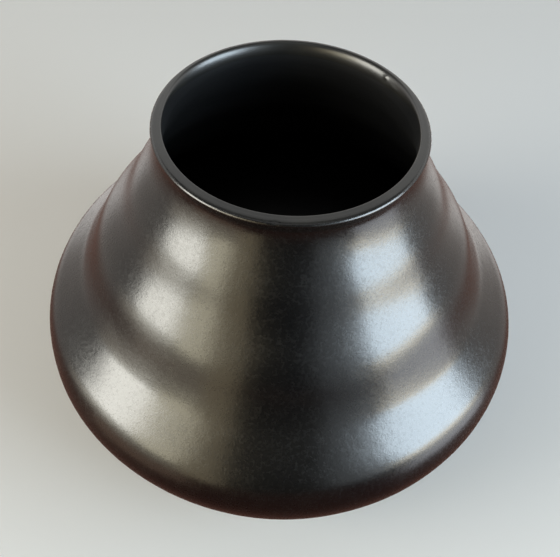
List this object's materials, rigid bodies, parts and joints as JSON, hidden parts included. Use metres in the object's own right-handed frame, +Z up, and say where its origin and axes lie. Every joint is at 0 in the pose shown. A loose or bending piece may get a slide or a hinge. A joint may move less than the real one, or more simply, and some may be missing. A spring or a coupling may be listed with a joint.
{
  "type": "pot",
  "caption": "Burnished black clay pot with a wide low belly, a stepped, ringed shoulder and a short neck with a turned-out rim, for holding water, grain or dry stems; stands on a flat base.",
  "frame": {"origin": "centre of the flat face that the pot stands on", "axes": "+Z up the pot's own axis, through the middle of the mouth; +X and +Y level, and any turn about Z gives the same pot"},
  "size_m": [0.2462, 0.2462, 0.186],
  "materials": {
    "burnished_clay": "stone-burnished and smoke-fired to a graphite-black, half-metallic sheen",
    "rim_clay": "satin graphite grey, wiped rather than burnished",
    "base_clay": "matt, smoke-fired and not burnished"
  },
  "bodies": {
    "root": {"rim_coil": "rim_clay", "neck_collar": "burnished_clay", "upper_course": "burnished_clay", "middle_course": "burnished_clay", "belly_course": "burnished_clay", "keel_course": "burnished_clay", "lower_course": "burnished_clay", "foot_course": "burnished_clay", "base": "base_clay"}
  },
  "joints": []
}
